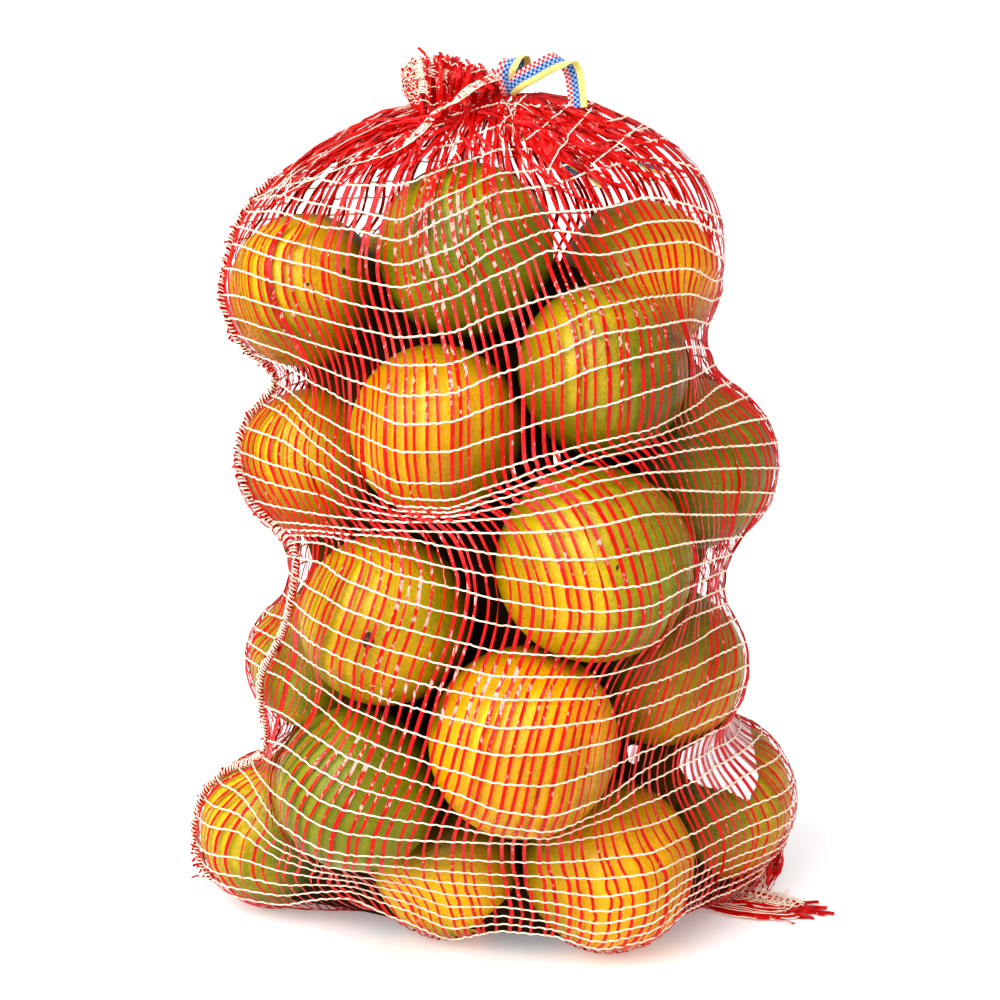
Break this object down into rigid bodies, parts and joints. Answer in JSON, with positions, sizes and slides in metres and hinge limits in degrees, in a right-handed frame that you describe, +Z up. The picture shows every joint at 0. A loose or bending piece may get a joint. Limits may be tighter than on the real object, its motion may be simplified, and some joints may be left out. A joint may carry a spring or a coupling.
{
  "type": "net of oranges",
  "caption": "Upright red mesh net filled with green-tinged oranges, drawn shut at the top by a striped woven ribbon, with an overlocked side seam and a loose bottom corner",
  "frame": {"origin": "middle of the bounding box, on the surface that the net stands on", "axes": "+Z up, the pictured front faces -Y, +X to the right as seen from the front, where the loose bottom corner points"},
  "size_m": [0.2594, 0.181, 0.3426],
  "materials": {
    "net_and_fruit": "glossy red polyethylene tape and white thread net over dimpled orange and green citrus peel",
    "ribbon": "flat woven ribbon in red, blue and pale yellow stripes"
  },
  "bodies": {
    "root": {"net": "net_and_fruit", "drawstring": "ribbon"}
  },
  "joints": []
}
